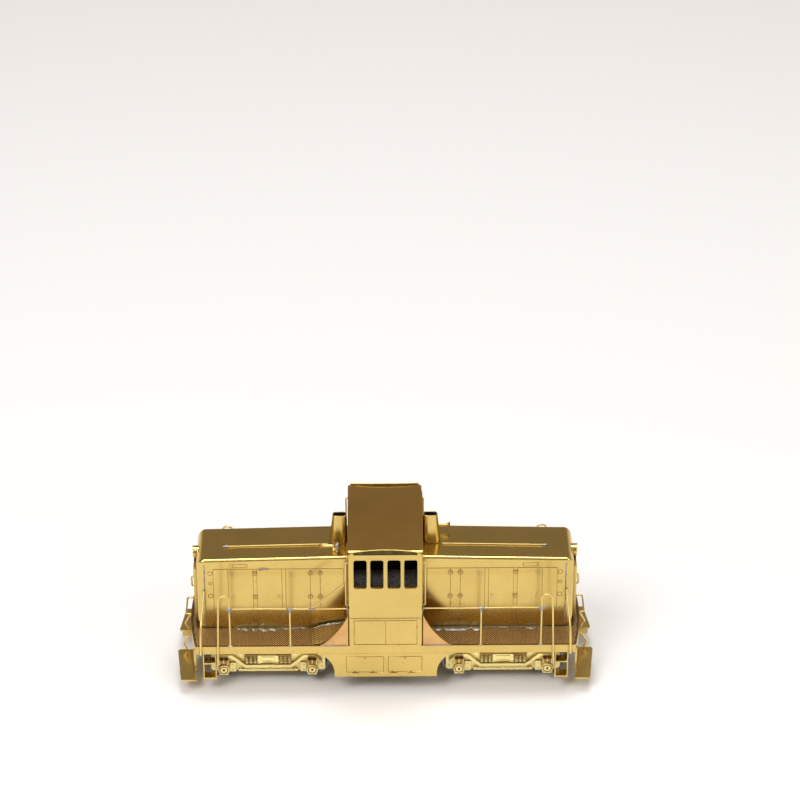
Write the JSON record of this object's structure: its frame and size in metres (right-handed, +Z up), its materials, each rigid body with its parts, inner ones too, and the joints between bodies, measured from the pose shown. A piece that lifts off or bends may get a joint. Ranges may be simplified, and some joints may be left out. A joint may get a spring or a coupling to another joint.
{
  "type": "model diesel locomotive",
  "caption": "Bare brass scale model of a centre-cab diesel switching locomotive on swivelling four-wheel trucks, with a motor and worm drive.",
  "frame": {"origin": "under the middle of the cab, on the surface that the wheel flanges stand on", "axes": "+X along the model towards its front end, +Y across it, +Z up"},
  "size_m": [0.113, 0.0352, 0.0462],
  "materials": {
    "sheet_brass": "bare polished sheet with light tarnish",
    "wire_brass": "bare drawn wire and small castings",
    "cast_brass": "bare investment casting, soft satin",
    "frame_brass": "machined, slightly dull",
    "gear_brass": "machined teeth",
    "lens_glass": "clear moulded lens",
    "lead_weight": "dull grey cast block",
    "motor_can": "dull plated steel",
    "plated_steel": "plated",
    "armature": "varnished windings",
    "steel_shaft": "ground",
    "wheel_nickel": "dull plated, darkened"
  },
  "bodies": {
    "locomotive": {"frame_deck": "sheet_brass", "side_skirts": "sheet_brass", "cab_body": "sheet_brass", "cab_doors": "sheet_brass", "hood_front": "sheet_brass", "hood_rear": "sheet_brass", "radiator_grille_front": "sheet_brass", "radiator_grille_rear": "sheet_brass", "headlight_front": "sheet_brass", "headlight_rear": "sheet_brass", "exhaust_stack_front": "sheet_brass", "exhaust_stack_rear": "sheet_brass", "cab_gussets": "sheet_brass", "door_steps": "sheet_brass", "corner_steps_front": "sheet_brass", "corner_steps_rear": "sheet_brass", "pilot_front": "sheet_brass", "pilot_rear": "sheet_brass", "footboards_front": "sheet_brass", "footboards_rear": "sheet_brass", "cab_roof": "sheet_brass", "side_handrails": "wire_brass", "handrail_posts": "wire_brass", "step_hoops": "wire_brass", "corner_rails": "wire_brass", "end_grab_irons": "wire_brass", "cab_grab_irons": "wire_brass", "door_rails": "wire_brass", "uncoupling_levers_front": "wire_brass", "uncoupling_levers_rear": "wire_brass", "conduits": "wire_brass", "horn_front": "wire_brass", "horn_rear": "wire_brass", "headlight_lenses": "lens_glass", "cab_weight": "lead_weight", "motor_can": "motor_can", "motor_strap": "plated_steel", "kingpins": "plated_steel"},
    "truck_front": {"truck_frame_front": "frame_brass", "truck_sideframes_front": "cast_brass"},
    "worm_line_front": {"worm_shaft_front": "steel_shaft", "worm_front": "gear_brass"},
    "outer_wheelset_front": {"outer_axle_front": "steel_shaft", "outer_wheels_front": "wheel_nickel", "worm_gear_front": "gear_brass"},
    "inner_wheelset_front": {"inner_axle_front": "steel_shaft", "inner_wheels_front": "wheel_nickel"},
    "truck_rear": {"truck_frame_rear": "frame_brass", "truck_sideframes_rear": "cast_brass"},
    "worm_line_rear": {"worm_shaft_rear": "steel_shaft", "worm_rear": "gear_brass"},
    "outer_wheelset_rear": {"outer_axle_rear": "steel_shaft", "outer_wheels_rear": "wheel_nickel", "worm_gear_rear": "gear_brass"},
    "inner_wheelset_rear": {"inner_axle_rear": "steel_shaft", "inner_wheels_rear": "wheel_nickel"},
    "motor_rotor": {"motor_armature": "armature", "motor_shaft": "steel_shaft", "driveshaft_front": "steel_shaft", "driveshaft_rear": "steel_shaft"}
  },
  "joints": [
    {"name": "truck_swivel_front", "type": "hinge", "parent": "locomotive", "child": "truck_front", "pos_m": [0.0318, 0, 0.0132], "axis": [0, 0, 1], "range_deg": [-5, 5]},
    {"name": "worm_spin_front", "type": "hinge", "parent": "truck_front", "child": "worm_line_front", "pos_m": [0.0318, 0, 0.0103], "axis": [1, 0, 0], "continuous": true},
    {"name": "outer_axle_spin_front", "type": "hinge", "parent": "truck_front", "child": "outer_wheelset_front", "pos_m": [0.04375, 0, 0.0055], "axis": [0, 1, 0], "continuous": true},
    {"name": "inner_axle_spin_front", "type": "hinge", "parent": "truck_front", "child": "inner_wheelset_front", "pos_m": [0.01985, 0, 0.0055], "axis": [0, 1, 0], "continuous": true},
    {"name": "truck_swivel_rear", "type": "hinge", "parent": "locomotive", "child": "truck_rear", "pos_m": [-0.0318, 0, 0.0132], "axis": [0, 0, 1], "range_deg": [-5, 5]},
    {"name": "worm_spin_rear", "type": "hinge", "parent": "truck_rear", "child": "worm_line_rear", "pos_m": [-0.0318, 0, 0.0103], "axis": [1, 0, 0], "continuous": true},
    {"name": "outer_axle_spin_rear", "type": "hinge", "parent": "truck_rear", "child": "outer_wheelset_rear", "pos_m": [-0.04375, 0, 0.0055], "axis": [0, 1, 0], "continuous": true},
    {"name": "inner_axle_spin_rear", "type": "hinge", "parent": "truck_rear", "child": "inner_wheelset_rear", "pos_m": [-0.01985, 0, 0.0055], "axis": [0, 1, 0], "continuous": true},
    {"name": "motor_spin", "type": "hinge", "parent": "locomotive", "child": "motor_rotor", "pos_m": [0, 0, 0.0103], "axis": [1, 0, 0], "continuous": true}
  ],
  "couplings": [
    {"joint": "worm_spin_front", "follows": "motor_spin", "ratio": 1},
    {"joint": "outer_axle_spin_front", "follows": "motor_spin", "ratio": -0.066667},
    {"joint": "worm_spin_rear", "follows": "motor_spin", "ratio": 1},
    {"joint": "outer_axle_spin_rear", "follows": "motor_spin", "ratio": -0.066667}
  ]
}
